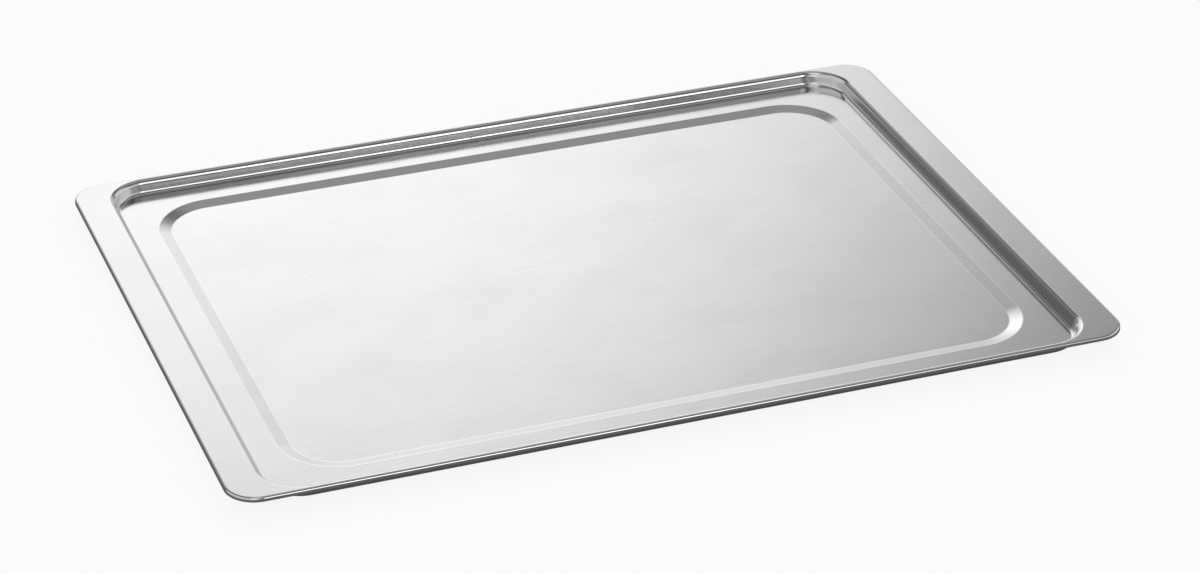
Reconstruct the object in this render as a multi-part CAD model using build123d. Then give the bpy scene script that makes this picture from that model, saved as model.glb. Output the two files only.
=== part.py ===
from build123d import *
import math
import os

# Shallow baking tray, pressed in one piece from stainless sheet. A rounded pan with a
# steep wall sits inside a rim. The rim is wide and flat at the two ends, where the tray
# slides on the runners of an oven, and narrow along the two long sides. The edge of the
# sheet is turned down all round. Inside the pan a level ledge runs round the foot of the
# wall, and a gentle slope leads from it down to the sunken floor, on which the tray rests.
# Millimetres. X runs along the tray, Y across it and Z up, and the origin is the middle
# of the underside.

# Overall size, across the end of the lip
TRAY_LENGTH = 438.0
TRAY_WIDTH = 317.5
TRAY_HEIGHT = 8.7
TRAY_CORNER_RADIUS = 15.0

# Sheet that the tray is pressed from
SHEET_THICKNESS = 0.8

# Lip: edge of the sheet, turned down all round and leaning outwards. Its bend radius is
# that of the upper side.
LIP_HEIGHT = 2.2
LIP_LEAN = 6.0
LIP_BEND_RADIUS = 1.3
LIP_EDGE_ROUNDING = 0.25

# Rim: flat strip between the lip's bend and the pan's bend
END_RIM_FLAT = 14.6
SIDE_RIM_FLAT = 0.2

# Pan: its wall leans outwards. Both radii are those of the upper side, and the corner
# radius is that of the wall's foot.
PAN_WALL_LEAN = 13.0
PAN_BEND_RADIUS = 2.9
PAN_FOOT_RADIUS = 2.2
PAN_CORNER_RADIUS = 18.0

# Ledge: level strip between the wall's foot and the slope
END_LEDGE_WIDTH = 14.5
SIDE_LEDGE_WIDTH = 17.0

# Sunken floor: depth below the ledge, and the slope that leads down to it. The corner
# radius is that of the slope's upper edge.
FLOOR_DEPTH = 1.3
SLOPE_WIDTH = 6.2
SLOPE_BEND_RADIUS = 4.0
FLOOR_CORNER_RADIUS = 30.0

# How far a cutting shape runs past what it cuts, and how near a level face must be to
# the height at which it is looked for
OVERRUN = 5.0
LEVEL_TOLERANCE = 0.001

# Heights of the upper side of the sheet
floor_level = SHEET_THICKNESS
ledge_level = floor_level + FLOOR_DEPTH
rim_level = TRAY_HEIGHT
wall_height = rim_level - ledge_level
lip_end_level = rim_level - LIP_HEIGHT

# Width that the leaning lip and its bend take up, from the lip's end to the rim's flat
lip_turn = 90.0 - LIP_LEAN
lip_spread = math.tan(math.radians(LIP_LEAN))
lip_width = LIP_HEIGHT * lip_spread + LIP_BEND_RADIUS * math.tan(math.radians(lip_turn / 2))

# Widths that the bend over the rim and the leaning wall take up, from the rim's flat to
# the wall's foot
wall_turn = 90.0 - PAN_WALL_LEAN
bend_width = PAN_BEND_RADIUS * math.tan(math.radians(wall_turn / 2))
wall_width = wall_height * math.tan(math.radians(PAN_WALL_LEAN))

# Slope down to the floor, as an angle from upright
slope_lean = math.degrees(math.atan2(SLOPE_WIDTH, FLOOR_DEPTH))

# Outlines seen from above, each as length, width and corner radius, on the upper side
rim_outline = (TRAY_LENGTH, TRAY_WIDTH, TRAY_CORNER_RADIUS)
pan_outline = (
    TRAY_LENGTH - 2 * (lip_width + END_RIM_FLAT),
    TRAY_WIDTH - 2 * (lip_width + SIDE_RIM_FLAT),
    PAN_CORNER_RADIUS + wall_width + bend_width,
)
foot_outline = (
    pan_outline[0] - 2 * (bend_width + wall_width),
    pan_outline[1] - 2 * (bend_width + wall_width),
    PAN_CORNER_RADIUS,
)
slope_outline = (
    foot_outline[0] - 2 * END_LEDGE_WIDTH,
    foot_outline[1] - 2 * SIDE_LEDGE_WIDTH,
    FLOOR_CORNER_RADIUS,
)
floor_outline = (
    slope_outline[0] - 2 * SLOPE_WIDTH,
    slope_outline[1] - 2 * SLOPE_WIDTH,
    FLOOR_CORNER_RADIUS - SLOPE_WIDTH,
)


def plate(outline, growth, level):
    """Level rounded rectangle at a height, grown by the same amount on every side."""
    length, width, radius = outline
    shape = RectangleRounded(length + 2 * growth, width + 2 * growth, radius + growth)
    return Pos(0, 0, level) * shape


def level_face(solid, level):
    """The level face of a solid at a height."""
    faces = solid.faces().filter_by(Plane.XY)
    return faces.filter_by_position(Axis.Z, level - LEVEL_TOLERANCE, level + LEVEL_TOLERANCE)[0]


def foot_growth(inset, lean):
    """How far the foot of a leaning wall moves out when wall and floor both move by the inset."""
    return inset * math.tan(math.radians((90.0 - lean) / 2))


def round_outer(solid, level, radius):
    """Rounds the edges round the outside of the level face at a height."""
    return fillet(level_face(solid, level).outer_wire().edges(), radius)


def round_inner(solid, level, radius):
    """Rounds the edges round the hollow in the level face at a height."""
    return fillet(level_face(solid, level).inner_wires()[0].edges(), radius)


def mound(inset):
    """Rounded block under the rim, whose sides lean as the lip does."""
    growth = (lip_end_level + OVERRUN) * lip_spread - inset / math.cos(math.radians(LIP_LEAN))
    height = rim_level - inset + OVERRUN
    return extrude(plate(rim_outline, growth, -OVERRUN), height, taper=LIP_LEAN)


def hollow(outline, level, top, lean, inset):
    """Rounded hollow whose walls lean outwards, from a floor level up to a top level."""
    base = plate(outline, foot_growth(inset, lean), level - inset)
    return extrude(base, top - level + inset, taper=-lean)


def press_form(inset):
    """All that lies below the upper side of the sheet, moved in by the inset.

    An inset of zero gives the upper side of the sheet, and its thickness the underside.
    """
    top = rim_level - inset
    ledge = ledge_level - inset
    floor = floor_level - inset
    block = mound(inset)
    block -= hollow(foot_outline, ledge_level, rim_level, PAN_WALL_LEAN, inset)
    block -= hollow(floor_outline, floor_level, ledge_level, slope_lean, inset)
    block = round_outer(block, top, LIP_BEND_RADIUS - inset)
    block = round_inner(block, top, PAN_BEND_RADIUS - inset)
    block = round_inner(block, ledge, SLOPE_BEND_RADIUS - inset)
    block = round_outer(block, ledge, PAN_FOOT_RADIUS + inset)
    return round_outer(block, floor, SLOPE_BEND_RADIUS + inset)


def skirt():
    """What is cut off below the lip, outside the pan."""
    height = lip_end_level + 2 * OVERRUN
    outside = extrude(plate(rim_outline, OVERRUN, -2 * OVERRUN), height)
    return outside - extrude(plate(pan_outline, 0, -2 * OVERRUN), height)


def tray():
    """The whole tray: the sheet between its upper side and its underside."""
    sheet = press_form(0) - press_form(SHEET_THICKNESS) - skirt()
    lip_end = level_face(sheet, lip_end_level)
    return fillet(lip_end.edges(), LIP_EDGE_ROUNDING)


os.makedirs("parts", exist_ok=True)
export_step(tray(), "parts/tray.step")
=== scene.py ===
"""Shallow baking tray of stainless sheet, dressed for a studio picture."""
import logging
import math
from dataclasses import dataclass
from enum import Enum
from typing import Any, Sequence

import bpy
from mathutils import Euler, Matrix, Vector


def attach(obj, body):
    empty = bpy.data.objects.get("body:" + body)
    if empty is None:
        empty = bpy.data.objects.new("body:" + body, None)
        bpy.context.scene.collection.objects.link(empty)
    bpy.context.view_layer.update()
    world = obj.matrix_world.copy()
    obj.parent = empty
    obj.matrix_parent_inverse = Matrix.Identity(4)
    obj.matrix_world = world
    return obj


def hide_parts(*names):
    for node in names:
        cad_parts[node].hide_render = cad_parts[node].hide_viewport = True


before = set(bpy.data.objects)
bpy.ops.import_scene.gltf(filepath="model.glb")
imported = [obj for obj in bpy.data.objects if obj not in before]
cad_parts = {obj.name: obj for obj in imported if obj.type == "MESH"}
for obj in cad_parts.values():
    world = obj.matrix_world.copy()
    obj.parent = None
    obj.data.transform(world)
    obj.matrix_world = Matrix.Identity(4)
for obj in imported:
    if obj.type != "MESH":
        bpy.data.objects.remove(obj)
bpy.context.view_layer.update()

MM = 0.001
QUARTER_TURN = math.pi / 2

# Tilt of a level face that looks up, of an upright face and of a level face that looks down
UP, UPRIGHT, DOWN = 0.0, 90.0, 180.0

# Attribute in which the node tree leaves the true direction of the pressed surface
TRUE_NORMAL = "pressed_normal"

# The sRGB curve starts with a straight line up to its knee and goes on as a power
SRGB_KNEE, SRGB_SLOPE, SRGB_OFFSET, SRGB_POWER = 0.04045, 12.92, 0.055, 2.4
WHITE = "#FFFFFF"

# The Mix node repeats its sockets for each kind of data, and these are the ones for colours
MIX_SHARE, MIX_FROM, MIX_TO, MIX_RESULT = 0, 6, 7, 2

logging.basicConfig(level=logging.INFO, format="%(message)s")
log = logging.getLogger("tray")


class Side(Enum):
    """Which way a bend of the profile turns, seen along the walk from the floor to the lip."""

    OVER = 1
    UNDER = -1


def linear(hex_colour: str) -> tuple[float, float, float, float]:
    """Turns an sRGB hex colour into linear light.

    Args:
        hex_colour: Six hex digits, with or without a leading hash sign.

    Returns:
        Red, green, blue and an alpha of one, as Blender's sockets take them.
    """
    digits = hex_colour.lstrip("#")
    channels = (int(digits[i:i + 2], 16) / 255 for i in (0, 2, 4))
    red, green, blue = (
        c / SRGB_SLOPE if c <= SRGB_KNEE else ((c + SRGB_OFFSET) / (1 + SRGB_OFFSET)) ** SRGB_POWER
        for c in channels)
    return red, green, blue, 1.0


def add_node(tree: bpy.types.NodeTree, kind: str, settings: dict[str, Any] | None = None,
             links: dict[Any, Any] | None = None) -> bpy.types.Node:
    """Adds a node to a tree, sets it up and wires its inputs.

    Args:
        tree: Tree that gets the node.
        kind: Blender's type name of the node.
        settings: Properties of the node by name.
        links: Inputs by name or index; each gets an output socket or a plain value.

    Returns:
        The new node.
    """
    node = tree.nodes.new(kind)
    for name, value in (settings or {}).items():
        setattr(node, name, value)
    for key, value in (links or {}).items():
        socket = node.inputs[key]
        if isinstance(value, bpy.types.NodeSocket):
            tree.links.new(value, socket)
        else:
            socket.default_value = value
    return node


@dataclass(frozen=True)
class Corner:
    """One corner of the sheet's section, before it is rounded. Millimetres and degrees.

    The half length, half width and plan radius are those of the outline that the corner makes
    round the tray. A tilt is how far the surface's outward side leans away from straight up.
    """

    half_length: float
    half_width: float
    plan_radius: float
    height: float
    tilt_in: float
    tilt_out: float
    bend_radius: float
    steps: int


@dataclass(frozen=True)
class Station:
    """One ring round the tray, where the section has a point. Millimetres and degrees."""

    half_length: float
    half_width: float
    plan_radius: float
    height: float
    tilt: float


# How the node tree finds the place and the direction of a point of the grid from its index.
# The points of a ring go round its four corners, each an arc of so many steps.
# Each row gives a name, a maths operation and its terms, which are numbers or earlier names.
# READ takes the ring's own size from the attribute of that name.
RING_FORMULAS: tuple[tuple[Any, ...], ...] = (
    ("corner points", "ADD", "corner steps", 1.0),
    ("ring points", "MULTIPLY_ADD", "corner points", 4.0, 1.0),
    ("index middle", "ADD", "index", 0.5),
    ("rings before", "DIVIDE", "index middle", "ring points"),
    ("ring", "FLOOR", "rings before"),
    ("points before", "MULTIPLY", "ring", "ring points"),
    ("place", "SUBTRACT", "index", "points before"),
    ("place middle", "ADD", "place", 0.5),
    ("corners before", "DIVIDE", "place middle", "corner points"),
    ("corner", "FLOOR", "corners before"),
    ("corner start", "MULTIPLY", "corner", "corner points"),
    ("steps along", "SUBTRACT", "place", "corner start"),
    ("along", "DIVIDE", "steps along", "corner steps"),
    ("corners passed", "ADD", "corner", "along"),
    ("turn", "MULTIPLY", "corners passed", QUARTER_TURN),
    ("corner middle", "ADD", "corner", 0.5),
    ("middle turn", "MULTIPLY", "corner middle", QUARTER_TURN),
    ("half_length", "READ"),
    ("half_width", "READ"),
    ("plan_radius", "READ"),
    ("height", "READ"),
    ("tilt", "READ"),
    ("cosine", "COSINE", "turn"),
    ("sine", "SINE", "turn"),
    ("middle cosine", "COSINE", "middle turn"),
    ("middle sine", "SINE", "middle turn"),
    ("side x", "SIGN", "middle cosine"),
    ("side y", "SIGN", "middle sine"),
    ("inner length", "SUBTRACT", "half_length", "plan_radius"),
    ("inner width", "SUBTRACT", "half_width", "plan_radius"),
    ("arc x", "MULTIPLY", "plan_radius", "cosine"),
    ("arc y", "MULTIPLY", "plan_radius", "sine"),
    ("x", "MULTIPLY_ADD", "inner length", "side x", "arc x"),
    ("y", "MULTIPLY_ADD", "inner width", "side y", "arc y"),
    ("lean", "SINE", "tilt"),
    ("normal x", "MULTIPLY", "lean", "cosine"),
    ("normal y", "MULTIPLY", "lean", "sine"),
    ("normal z", "COSINE", "tilt"),
)


@dataclass
class PressedTray:
    """The whole tray: one sheet of stainless steel, pressed to a pan with a rim.

    Millimetres and degrees. The lip and the pan's wall lean outwards, and a bend's radius is
    that of the sheet's upper side. The steps tell how finely each bend is drawn.
    """

    length: float = 438.0
    width: float = 317.5
    height: float = 8.7
    corner_radius: float = 15.0
    sheet: float = 0.8
    lip_height: float = 2.2
    lip_lean: float = 6.0
    lip_bend: float = 1.3
    lip_rounding: float = 0.25
    end_rim_flat: float = 14.6
    side_rim_flat: float = 0.2
    wall_lean: float = 13.0
    pan_bend: float = 2.9
    pan_foot: float = 2.2
    pan_corner: float = 18.0
    end_ledge: float = 14.5
    side_ledge: float = 17.0
    floor_depth: float = 1.3
    slope_width: float = 6.2
    slope_bend: float = 4.0
    floor_corner: float = 30.0
    corner_steps: int = 32
    slope_steps: int = 6
    foot_steps: int = 16
    brow_steps: int = 20
    lip_steps: int = 12
    edge_steps: int = 5
    lip_underside_steps: int = 6
    wall_underside_steps: int = 12
    weld: float = 0.001
    node: str = "tray"

    def section(self) -> list[Corner]:
        """Works out the section's corners, from the floor over the lip and back underneath.

        Returns:
            The corners in the order of the walk.
        """
        ledge = self.sheet + self.floor_depth
        slope_tilt = math.degrees(math.atan2(self.floor_depth, self.slope_width))
        wall_tilt = UPRIGHT - self.wall_lean
        bend = self.pan_bend * math.tan(math.radians(wall_tilt / 2))
        wall = (self.height - ledge) * math.tan(math.radians(self.wall_lean))
        lip_tilt = UPRIGHT - self.lip_lean
        spread = self.lip_height * math.tan(math.radians(self.lip_lean))
        lip = spread + self.lip_bend * math.tan(math.radians(lip_tilt / 2))

        # Half length, half width and corner radius of each outline of the upper side
        rim = (self.length / 2, self.width / 2, self.corner_radius)
        brow = (rim[0] - lip - self.end_rim_flat - bend,
                rim[1] - lip - self.side_rim_flat - bend, self.pan_corner + wall)
        foot = (brow[0] - wall, brow[1] - wall, self.pan_corner)
        slope = (foot[0] - self.end_ledge, foot[1] - self.side_ledge, self.floor_corner)
        floor = tuple(size - self.slope_width for size in slope)

        # Level distance between a corner of the upper side and its partner underneath
        wall_shift = self.sheet * math.tan(math.radians(wall_tilt / 2))
        slope_shift = self.sheet * math.tan(math.radians(slope_tilt / 2))
        lip_shift = self.sheet * math.tan(math.radians(lip_tilt / 2))
        lip_face = self.sheet / math.cos(math.radians(self.lip_lean))

        def grown(outline: Sequence[float], growth: float) -> tuple[float, ...]:
            """The outline with every size grown by the same amount."""
            return tuple(size + growth for size in outline)

        t = self.sheet
        top, under, end = self.height, self.height - t, self.height - self.lip_height
        slope_bend = (self.slope_bend, self.slope_steps)
        edge = (self.lip_rounding, self.edge_steps)
        inside_lip = (self.lip_bend - t, self.lip_underside_steps)
        below_brow = (self.pan_bend - t, self.wall_underside_steps)
        below_foot = (self.pan_foot + t, self.wall_underside_steps)
        below_slope = (self.slope_bend - t, self.slope_steps)
        below_floor = (self.slope_bend + t, self.slope_steps)
        return [
            Corner(*floor, t, UP, -slope_tilt, *slope_bend),
            Corner(*slope, ledge, -slope_tilt, UP, *slope_bend),
            Corner(*foot, ledge, UP, -wall_tilt, self.pan_foot, self.foot_steps),
            Corner(*brow, top, -wall_tilt, UP, self.pan_bend, self.brow_steps),
            Corner(*grown(rim, -spread), top, UP, lip_tilt, self.lip_bend, self.lip_steps),
            Corner(*rim, end, lip_tilt, DOWN, *edge),
            Corner(*grown(rim, -lip_face), end, DOWN, DOWN + lip_tilt, *edge),
            Corner(*grown(rim, -spread - lip_shift), under, DOWN + lip_tilt, DOWN, *inside_lip),
            Corner(*grown(brow, wall_shift), under, DOWN, DOWN - wall_tilt, *below_brow),
            Corner(*grown(foot, wall_shift), ledge - t, DOWN - wall_tilt, DOWN, *below_foot),
            Corner(*grown(slope, slope_shift), ledge - t, DOWN, DOWN - slope_tilt, *below_slope),
            Corner(*grown(floor, slope_shift), 0, DOWN - slope_tilt, DOWN, *below_floor),
        ]

    def stations(self) -> list[Station]:
        """Rounds the section's corners and lists every ring of the tray.

        Returns:
            The rings from the middle of the floor over the lip to the middle of the underside.
        """
        rings = [Station(0, 0, 0, self.sheet, UP)]
        for corner in self.section():
            turn = corner.tilt_out - corner.tilt_in
            side = Side.OVER if turn > 0 else Side.UNDER
            reach = corner.bend_radius * math.tan(math.radians(abs(turn) / 2))
            start = math.radians(corner.tilt_in)
            for step in range(corner.steps + 1):
                tilt = start + math.radians(turn) * step / corner.steps
                across = side.value * corner.bend_radius * (math.sin(tilt) - math.sin(start))
                up = side.value * corner.bend_radius * (math.cos(tilt) - math.cos(start))
                across -= reach * math.cos(start)
                up += reach * math.sin(start)
                rings.append(Station(corner.half_length + across, corner.half_width + across,
                                     corner.plan_radius + across, corner.height + up,
                                     math.degrees(tilt)))
        rings.append(Station(0, 0, 0, 0, DOWN))
        return rings

    def station_mesh(self) -> bpy.types.Mesh:
        """Stores the rings' sizes as attributes on a row of loose points.

        Returns:
            A mesh with one point for each ring. Where the points lie has no meaning.
        """
        rings = self.stations()
        mesh = bpy.data.meshes.new("tray_stations")
        mesh.from_pydata([(index * MM, 0, 0) for index in range(len(rings))], [], [])
        for name, factor in (("half_length", MM), ("half_width", MM), ("plan_radius", MM),
                             ("height", MM), ("tilt", math.radians(1))):
            values = mesh.attributes.new(name, "FLOAT", "POINT")
            values.data.foreach_set("value", [getattr(ring, name) * factor for ring in rings])
        return mesh

    def press_tree(self) -> bpy.types.NodeTree:
        """Builds the node tree that lays the rings round the tray and joins them to a closed skin.

        Returns:
            A geometry tree with the inputs Geometry, Corner steps and Finish.
        """
        tree = bpy.data.node_groups.new("press_sheet", "GeometryNodeTree")
        face = tree.interface
        face.new_socket("Geometry", in_out="INPUT", socket_type="NodeSocketGeometry")
        face.new_socket("Corner steps", in_out="INPUT", socket_type="NodeSocketInt")
        face.new_socket("Finish", in_out="INPUT", socket_type="NodeSocketMaterial")
        face.new_socket("Geometry", in_out="OUTPUT", socket_type="NodeSocketGeometry")
        group = add_node(tree, "NodeGroupInput")
        count = add_node(tree, "GeometryNodeAttributeDomainSize", {"component": "MESH"},
                         {"Geometry": group.outputs["Geometry"]})
        at: dict[Any, Any] = {"corner steps": group.outputs["Corner steps"],
                              "index": add_node(tree, "GeometryNodeInputIndex").outputs[0]}
        for name, operation, *terms in RING_FORMULAS:
            if operation == "READ":
                attribute = add_node(tree, "GeometryNodeInputNamedAttribute",
                                     {"data_type": "FLOAT"}, {"Name": name})
                sample = add_node(tree, "GeometryNodeSampleIndex",
                                  {"data_type": "FLOAT", "domain": "POINT"},
                                  {"Geometry": group.outputs["Geometry"], "Index": at["ring"],
                                   "Value": attribute.outputs["Attribute"]})
                at[name] = sample.outputs["Value"]
            else:
                inputs = {slot: at.get(term, term) for slot, term in enumerate(terms)}
                at[name] = add_node(tree, "ShaderNodeMath", {"operation": operation},
                                    inputs).outputs[0]
        grid = add_node(tree, "GeometryNodeMeshGrid", {}, {
            "Vertices X": count.outputs["Point Count"], "Vertices Y": at["ring points"]})
        position = add_node(tree, "ShaderNodeCombineXYZ", {}, {
            "X": at["x"], "Y": at["y"], "Z": at["height"]})
        normal = add_node(tree, "ShaderNodeCombineXYZ", {}, {
            "X": at["normal x"], "Y": at["normal y"], "Z": at["normal z"]})
        kept = add_node(tree, "GeometryNodeStoreNamedAttribute",
                        {"data_type": "FLOAT_VECTOR", "domain": "POINT"},
                        {"Geometry": grid.outputs["Mesh"], "Name": TRUE_NORMAL,
                         "Value": normal.outputs[0]})
        placed = add_node(tree, "GeometryNodeSetPosition", {}, {
            "Geometry": kept.outputs[0], "Position": position.outputs[0]})
        closed = add_node(tree, "GeometryNodeMergeByDistance", {}, {
            "Geometry": placed.outputs[0], "Distance": self.weld * MM})
        smooth = add_node(tree, "GeometryNodeSetShadeSmooth", {}, {"Geometry": closed.outputs[0]})
        real = add_node(tree, "GeometryNodeRealizeInstances", {}, {"Geometry": smooth.outputs[0]})
        dressed = add_node(tree, "GeometryNodeSetMaterial", {}, {
            "Geometry": real.outputs[0], "Material": group.outputs["Finish"]})
        add_node(tree, "NodeGroupOutput", {}, {"Geometry": dressed.outputs[0]})
        return tree

    def build(self, finish: bpy.types.Material) -> bpy.types.Object:
        """Presses the tray and puts it in the place of the plain model.

        Args:
            finish: Material of the sheet.

        Returns:
            The tray as one closed mesh.
        """
        shaper = bpy.data.objects.new("tray_shaper", self.station_mesh())
        bpy.context.scene.collection.objects.link(shaper)
        tree = self.press_tree()
        modifier = shaper.modifiers.new("press", "NODES")
        modifier.node_group = tree
        sockets = {item.name: item.identifier for item in tree.interface.items_tree
                   if item.in_out == "INPUT"}
        modifier[sockets["Corner steps"]] = self.corner_steps
        modifier[sockets["Finish"]] = finish
        graph = bpy.context.evaluated_depsgraph_get()
        mesh = bpy.data.meshes.new_from_object(shaper.evaluated_get(graph))
        shaper.modifiers.remove(modifier)
        bpy.data.objects.remove(shaper)
        self.point_normals(mesh)
        mesh.name = "pressed_tray"
        tray = bpy.data.objects.new("pressed_tray", mesh)
        bpy.context.scene.collection.objects.link(tray)
        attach(tray, "root")
        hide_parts(self.node)
        return tray

    def point_normals(self, mesh: bpy.types.Mesh) -> None:
        """Gives every point the direction that the true pressed surface has there.

        Where most faces look inwards, all are turned round first.

        Args:
            mesh: Closed mesh with the attribute that the node tree stored.
        """
        flat = [0.0] * (3 * len(mesh.vertices))
        mesh.attributes[TRUE_NORMAL].data.foreach_get("vector", flat)
        normals = [Vector(flat[i:i + 3]).normalized() for i in range(0, len(flat), 3)]
        inward = sum(1 for face in mesh.polygons if face.normal.dot(normals[face.vertices[0]]) < 0)
        if inward > len(mesh.polygons) / 2:
            mesh.flip_normals()
        mesh.normals_split_custom_set_from_vertices(normals)
        mesh.attributes.remove(mesh.attributes[TRUE_NORMAL])


@dataclass(frozen=True)
class Mark:
    """One kind of mark on the steel, drawn by stretched noise. Millimetres and degrees.

    The size is the width of the noise along each axis. The low and high levels of the noise
    give the mark's start and its full strength.
    """

    name: str
    size: tuple[float, float, float]
    turn: float
    detail: float
    low: float
    high: float


@dataclass(frozen=True)
class SatinStainless:
    """18/10 stainless sheet, cold rolled, bright annealed and pressed.

    It gives the eye a pale neutral grey with a satin gloss. Soft lights are mirrored in it
    without an edge, and the bends show them as narrow lines. Lengths are in millimetres.
    """

    # Clean steel, steel under the film and a dried speck
    colour: str = "#E7E7E7"
    film_colour: str = "#E4E5E5"
    speck_colour: str = "#8E8E8E"

    # Roughness of the rolled sheet, what each mark adds to it and what burnishing takes away
    roughness: float = 0.125
    film_roughness: float = 0.014
    grain_roughness: float = 0.012
    scuff_roughness: float = 0.05
    burnish: float = 0.02

    # Depth of each mark. The scuffs are scratched in and the others stand out.
    sway_depth: float = 0.04
    grain_depth: float = 0.004
    scuff_depth: float = 0.004
    draw_depth: float = 0.004

    # Spacing of the cells that may hold a speck, and a speck's radius. The core is the share of
    # that radius that is fully dark, and the rarity is the share of cells without a speck.
    speck_spacing: float = 62.0
    speck_radius: float = 0.45
    speck_core: float = 0.4
    speck_rarity: float = 0.72

    # Upward share of the surface's direction where stretching over the tool starts to show,
    # and where it shows in full
    stretch_start: float = 0.9
    stretch_full: float = 0.6

    marks: tuple[Mark, ...] = (
        # Unevenness that pressing leaves in a 0.8 mm sheet, a hand's width across.
        Mark("sway", (70, 55, 30), 0, 0.0, 0.2, 0.8),
        # Thin film from washing and handling, in clouds as wide as two or three fingers.
        Mark("film", (55, 38, 38), 25, 3.0, 0.38, 0.68),
        # Lines of the rolling mill run along the sheet. Real ones are 0.02 mm wide, which is
        # too fine to show, so they are drawn 0.8 mm wide.
        Mark("grain", (70, 0.8, 0.8), 0, 2.0, 0.25, 0.75),
        # Hairline scuffs from shelves and runners. Real ones are 0.05 mm wide, which is too
        # fine to show, so they are drawn 0.5 mm wide.
        Mark("scuff", (34, 0.5, 0.5), 12, 1.0, 0.68, 0.76),
        # Streaks that the press draws along the walls. Real ones are 0.1 to 0.2 mm wide and
        # drawn at 0.6 mm, because finer ones don't show.
        Mark("draw", (90, 90, 0.6), 0, 2.0, 0.25, 0.75),
    )

    def lay_marks(self, tree: bpy.types.NodeTree, place: bpy.types.NodeSocket,
                  ) -> dict[str, bpy.types.NodeSocket]:
        """Draws every kind of mark from nothing to full strength.

        Args:
            tree: The material's node tree.
            place: Object coordinates in metres.

        Returns:
            Output socket of each mark by name, from 0 to 1.
        """
        drawn = {}
        for mark in self.marks:
            turned = add_node(tree, "ShaderNodeMapping", {"vector_type": "TEXTURE"}, {
                "Vector": place, "Rotation": (0, 0, math.radians(mark.turn)),
                "Scale": tuple(size * MM for size in mark.size)})
            noise = add_node(tree, "ShaderNodeTexNoise", {"noise_dimensions": "3D"}, {
                "Vector": turned.outputs[0], "Scale": 1.0, "Detail": mark.detail})
            level = add_node(tree, "ShaderNodeMapRange", {"interpolation_type": "SMOOTHSTEP"}, {
                "Value": noise.outputs[0], "From Min": mark.low, "From Max": mark.high})
            drawn[mark.name] = level.outputs["Result"]
        return drawn

    def lay_specks(self, tree: bpy.types.NodeTree, place: bpy.types.NodeSocket,
                   ) -> bpy.types.NodeSocket:
        """Draws the few dark specks where water has dried or grit was pressed in.

        Args:
            tree: The material's node tree.
            place: Object coordinates in metres.

        Returns:
            Socket that is 1 in a speck and 0 beside it.
        """
        cells = add_node(tree, "ShaderNodeTexVoronoi", {"voronoi_dimensions": "2D"}, {
            "Vector": place, "Scale": 1 / (self.speck_spacing * MM)})
        radius = self.speck_radius / self.speck_spacing
        spot = add_node(tree, "ShaderNodeMapRange", {"interpolation_type": "SMOOTHSTEP"}, {
            "Value": cells.outputs["Distance"],
            "From Min": self.speck_core * radius, "From Max": radius,
            "To Min": 1.0, "To Max": 0.0})
        pick = add_node(tree, "ShaderNodeSeparateColor", {}, {"Color": cells.outputs["Color"]})
        rare = add_node(tree, "ShaderNodeMath", {"operation": "GREATER_THAN"},
                        {0: pick.outputs[0], 1: self.speck_rarity})
        return add_node(tree, "ShaderNodeMath", {"operation": "MULTIPLY"},
                        {0: spot.outputs["Result"], 1: rare.outputs[0]}).outputs[0]

    def make(self) -> bpy.types.Material:
        """Builds the material.

        Returns:
            A node material for the tray's sheet.
        """
        material = bpy.data.materials.new("cold_rolled_stainless_sheet")
        material.use_nodes = True
        tree = material.node_tree
        tree.nodes.clear()
        source = add_node(tree, "ShaderNodeTexCoord")
        place = source.outputs["Object"]
        mark = self.lay_marks(tree, place)
        speck = self.lay_specks(tree, place)

        # The walls and bends were stretched over the tool, which burnished them. How far the
        # surface leans away from level tells where they are.
        facing = add_node(tree, "ShaderNodeSeparateXYZ", {}, {0: source.outputs["Normal"]})
        level = add_node(tree, "ShaderNodeMath", {"operation": "ABSOLUTE"}, {0: facing.outputs["Z"]})
        drawn = add_node(tree, "ShaderNodeMapRange", {"interpolation_type": "SMOOTHSTEP"}, {
            "Value": level.outputs[0], "From Min": self.stretch_start,
            "From Max": self.stretch_full}).outputs["Result"]
        flat = add_node(tree, "ShaderNodeMath", {"operation": "SUBTRACT"},
                        {0: 1.0, 1: drawn}).outputs[0]
        for name, where in (("draw", drawn), ("grain", flat), ("scuff", flat)):
            mark[name] = add_node(tree, "ShaderNodeMath", {"operation": "MULTIPLY"},
                                  {0: mark[name], 1: where}).outputs[0]

        # The film greys the steel a little, and a speck is darker.
        colour: Any = linear(self.colour)
        for amount, tone in ((mark["film"], self.film_colour), (speck, self.speck_colour)):
            colour = add_node(tree, "ShaderNodeMix", {"data_type": "RGBA"}, {
                MIX_SHARE: amount, MIX_FROM: colour, MIX_TO: linear(tone)}).outputs[MIX_RESULT]

        # Each mark makes the surface rougher where it lies, and burnishing smoother.
        gloss: Any = self.roughness
        for amount, share in ((mark["film"], self.film_roughness),
                              (mark["grain"], self.grain_roughness),
                              (mark["scuff"], self.scuff_roughness), (drawn, -self.burnish)):
            gloss = add_node(tree, "ShaderNodeMath", {"operation": "MULTIPLY_ADD"},
                             {0: amount, 1: share, 2: gloss}).outputs[0]

        # Each mark's relief stands on the one before it, broad ones first.
        relief: Any = None
        for height, depth in ((mark["sway"], self.sway_depth), (mark["grain"], self.grain_depth),
                              (mark["draw"], self.draw_depth), (mark["scuff"], -self.scuff_depth)):
            inputs = {"Height": height, "Distance": depth * MM, "Strength": 1.0}
            if relief:
                inputs["Normal"] = relief
            relief = add_node(tree, "ShaderNodeBump", {}, inputs).outputs[0]
        steel = add_node(tree, "ShaderNodeBsdfPrincipled", {}, {
            "Base Color": colour, "Metallic": 1.0, "Roughness": gloss, "Normal": relief})
        add_node(tree, "ShaderNodeOutputMaterial", {}, {"Surface": steel.outputs[0]})
        return material


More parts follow.
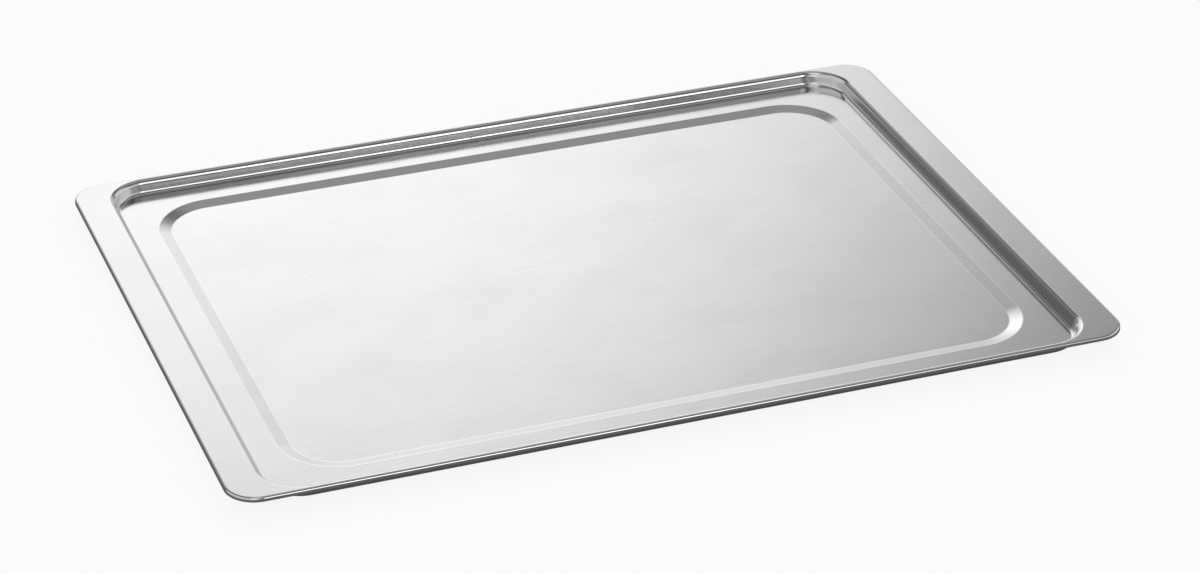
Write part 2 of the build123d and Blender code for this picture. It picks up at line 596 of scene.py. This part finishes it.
@dataclass(frozen=True)
class SoftPanel:
    """A soft-edged patch of light far from the tray. Degrees and strength.

    The azimuth runs from +Y towards +X, and the elevation from the floor up. The softness is
    how far the edge fades on either side of the half width and the half height.
    """

    name: str
    azimuth: float
    elevation: float
    half_width: float
    half_height: float
    softness: float
    strength: float


@dataclass
class Studio:
    """The floor, the light and the room round the tray. The floor's size is in millimetres.

    The paper and the room have one level for the camera and another for the steel. Those of
    the camera give the plain white ground of the picture. Those of the steel are the panels
    and the dim room between them, which its bands of light and dark come from.
    """

    floor_size: float = 12000.0

    # Paper sweep: its colour and its share of even glow, as the camera and as the steel see it
    paper_seen: str = WHITE
    # Painted shade: the steel sees the paper in this grey, which stands for the tray's own shade near
    # it
    mirrored_paper_painted_shade: str = "#606060"
    glow_seen: float = 0.90
    glow_mirrored: float = 0.06
    sweep_level: float = 1.0

    # What the steel mirrors: the room's own level and the panels that stand in it. Those named
    # far stand behind the tray as the camera sees it, and those named front on the camera's
    # side. Each row gives azimuth, elevation, half width, half height, softness and strength.
    room: float = 0.07
    panels: tuple[SoftPanel, ...] = (
        SoftPanel("far_wash", 5, 16.3, 17.5, 18.5, 8, 0.87),
        SoftPanel("far_softbox", 17.9, 26, 9.7, 8.3, 7.7, 0.20),
        SoftPanel("far_glow", 9, 21.5, 8, 4.5, 5, 0.27),
        SoftPanel("far_strip", 9, 35, 8, 3, 3.5, 0.14),
        SoftPanel("right_fill", 35.5, 7.3, 12.6, 19.8, 7.6, 0.52),
        SoftPanel("left_fill", -20.4, 6.6, 12, 24, 12, 0.24),
        SoftPanel("front_softbox", 161.5, 32.5, 6.6, 15.5, 6, 1.75),
        SoftPanel("front_wash", 140, 26, 13, 22, 8, 0.45),
        SoftPanel("overhead_far", 40, 62, 24, 20, 8, 0.26),
        SoftPanel("overhead_near", 150, 72, 20, 11, 10, 0.05),
        SoftPanel("ceiling", 203, 80, 9, 18, 4, 0.75),
        SoftPanel("right_wall", 92, 18, 34, 22, 10, 0.66),
        SoftPanel("left_wall", 255, 32, 55, 38, 13, 0.56),
        SoftPanel("behind_camera", 194, 24, 15, 18, 8, 0.34),
    )

    # What lights the paper and gives the tray its soft shadow
    key: SoftPanel = SoftPanel("far_key", 14, 34, 24, 14, 8, 3.2)
    key_room: float = 0.45

    def panel_light(self, tree: bpy.types.NodeTree, ray: bpy.types.NodeSocket,
                    panel: SoftPanel) -> bpy.types.NodeSocket:
        """Builds the soft-edged rectangle of one panel.

        Args:
            tree: The world's node tree.
            ray: Direction in which a ray leaves.
            panel: Panel that is drawn.

        Returns:
            Socket with the light of the panel in that direction.
        """
        azimuth, elevation = math.radians(panel.azimuth), math.radians(panel.elevation)
        out = Vector((math.sin(azimuth) * math.cos(elevation),
                      math.cos(azimuth) * math.cos(elevation), math.sin(elevation)))
        right = Vector((math.cos(azimuth), -math.sin(azimuth), 0))
        up = right.cross(out)
        ahead = add_node(tree, "ShaderNodeVectorMath", {"operation": "DOT_PRODUCT"}, {0: ray, 1: out})
        light: Any = panel.strength
        for direction, half in ((right, panel.half_width), (up, panel.half_height)):
            dot = add_node(tree, "ShaderNodeVectorMath", {"operation": "DOT_PRODUCT"},
                           {0: ray, 1: direction})
            angle = add_node(tree, "ShaderNodeMath", {"operation": "ARCTAN2"},
                             {0: dot.outputs["Value"], 1: ahead.outputs["Value"]})
            size = add_node(tree, "ShaderNodeMath", {"operation": "ABSOLUTE"}, {0: angle.outputs[0]})
            edge = add_node(tree, "ShaderNodeMapRange", {"interpolation_type": "SMOOTHERSTEP"}, {
                "Value": size.outputs[0],
                "From Min": math.radians(max(half - panel.softness, 0)),
                "From Max": math.radians(half + panel.softness), "To Min": 1.0, "To Max": 0.0})
            light = add_node(tree, "ShaderNodeMath", {"operation": "MULTIPLY"},
                             {0: edge.outputs["Result"], 1: light}).outputs[0]
        return light

    def light_room(self) -> None:
        """Builds the world: panels for the steel, a key light for the paper, white for the camera."""
        world = bpy.data.worlds.new("studio_room")
        bpy.context.scene.world = world
        world.use_nodes = True
        tree = world.node_tree
        tree.nodes.clear()
        ray = add_node(tree, "ShaderNodeTexCoord").outputs["Generated"]
        white = linear(WHITE)
        total: Any = self.room
        for panel in self.panels:
            total = add_node(tree, "ShaderNodeMath", {"operation": "ADD"},
                             {0: self.panel_light(tree, ray, panel), 1: total}).outputs[0]
        mirrored = add_node(tree, "ShaderNodeBackground", {}, {"Color": white, "Strength": total})
        key = add_node(tree, "ShaderNodeMath", {"operation": "ADD"}, {
            0: self.panel_light(tree, ray, self.key), 1: self.key_room})
        plain = add_node(tree, "ShaderNodeBackground", {}, {
            "Color": white, "Strength": key.outputs[0]})
        path = add_node(tree, "ShaderNodeLightPath")
        mix = add_node(tree, "ShaderNodeMixShader", {}, {
            0: path.outputs["Is Glossy Ray"], 1: plain.outputs[0], 2: mirrored.outputs[0]})
        sweep = add_node(tree, "ShaderNodeBackground", {}, {
            "Color": white, "Strength": self.sweep_level})
        seen = add_node(tree, "ShaderNodeMixShader", {}, {
            0: path.outputs["Is Camera Ray"], 1: mix.outputs[0], 2: sweep.outputs[0]})
        add_node(tree, "ShaderNodeOutputWorld", {}, {"Surface": seen.outputs[0]})
        world.cycles.sampling_method = "NONE"

    def make_paper(self) -> bpy.types.Material:
        """Builds the floor's material: matt white paper, which gives the eye an even white.

        A share of even glow stands for the light that reaches the paper from all round. It
        leaves the tray's shadow a faint grey. For the steel the paper is painted darker, as painted
        shade for the strip in the tray's own shade, which the lip and the outside of the pan mirror.

        Returns:
            A node material for the floor.
        """
        material = bpy.data.materials.new("white_paper_sweep")
        material.use_nodes = True
        tree = material.node_tree
        tree.nodes.clear()
        path = add_node(tree, "ShaderNodeLightPath")
        mirrored = add_node(tree, "ShaderNodeMath", {"operation": "MAXIMUM"}, {
            0: path.outputs["Is Glossy Ray"], 1: path.outputs["Is Transmission Ray"]})
        # Painted shade: the steel's rays see the paper in a darker grey, which stands for the tray's
        # own shade
        tone = add_node(tree, "ShaderNodeMix", {"data_type": "RGBA"}, {
            MIX_SHARE: mirrored.outputs[0], MIX_FROM: linear(self.paper_seen),
            MIX_TO: linear(self.mirrored_paper_painted_shade)})
        paper = add_node(tree, "ShaderNodeBsdfDiffuse", {}, {"Color": tone.outputs[MIX_RESULT]})
        glow = add_node(tree, "ShaderNodeEmission", {}, {"Strength": self.sweep_level})
        low = add_node(tree, "ShaderNodeMath", {"operation": "MULTIPLY"},
                       {0: mirrored.outputs[0], 1: self.glow_mirrored})
        high = add_node(tree, "ShaderNodeMath", {"operation": "MULTIPLY"},
                        {0: path.outputs["Is Camera Ray"], 1: self.glow_seen})
        share = add_node(tree, "ShaderNodeMath", {"operation": "MAXIMUM"},
                         {0: low.outputs[0], 1: high.outputs[0]})
        mix = add_node(tree, "ShaderNodeMixShader", {}, {
            0: share.outputs[0], 1: paper.outputs[0], 2: glow.outputs[0]})
        add_node(tree, "ShaderNodeOutputMaterial", {}, {"Surface": mix.outputs[0]})
        material.cycles.emission_sampling = "NONE"
        return material

    def lay_floor(self) -> bpy.types.Object:
        """Lays the plain white floor that the tray stands on.

        Returns:
            The floor, which isn't part of the tray.
        """
        half = self.floor_size * MM / 2
        mesh = bpy.data.meshes.new("studio_floor")
        mesh.from_pydata([(-half, -half, 0), (half, -half, 0), (half, half, 0), (-half, half, 0)],
                         [], [(0, 1, 2, 3)])
        floor = bpy.data.objects.new("studio_floor", mesh)
        bpy.context.scene.collection.objects.link(floor)
        mesh.materials.append(self.make_paper())
        return floor


@dataclass
class StudioCamera:
    """Long-lens camera at the angle of the picture. Millimetres and degrees."""

    place: tuple[float, float, float] = (-531.1, -1484.1, 863.9)
    azimuth: float = 20.027
    elevation: float = 28.93
    roll: float = -0.125
    lens: float = 109.88
    sensor: float = 36.0
    nearest: float = 50.0
    farthest: float = 50000.0

    def set_up(self) -> bpy.types.Object:
        """Creates the camera and makes it the scene's own.

        Returns:
            The camera.
        """
        data = bpy.data.cameras.new("picture_camera")
        data.lens = self.lens
        data.sensor_width = self.sensor
        data.clip_start, data.clip_end = self.nearest * MM, self.farthest * MM
        camera = bpy.data.objects.new("picture_camera", data)
        bpy.context.scene.collection.objects.link(camera)
        camera.location = Vector(self.place) * MM
        turn = Euler((math.radians(UPRIGHT - self.elevation), 0, math.radians(-self.azimuth)), "XYZ")
        roll = Euler((0, 0, math.radians(self.roll)), "XYZ")
        camera.rotation_euler = (turn.to_matrix() @ roll.to_matrix()).to_euler()
        bpy.context.scene.camera = camera
        return camera


def main() -> None:
    """Builds the tray, the studio and the camera in order, and reports each piece."""
    bpy.context.scene.view_settings.view_transform = "Standard"
    tray = PressedTray().build(SatinStainless().make())
    log.info("tray: %d faces", len(tray.data.polygons))
    studio = Studio()
    studio.light_room()
    floor = studio.lay_floor()
    log.info("studio: %s and %d panels", floor.name, len(studio.panels))
    camera = StudioCamera().set_up()
    log.info("camera: %s at %.0f mm", camera.name, camera.data.lens)


if __name__ == "__main__":
    main()
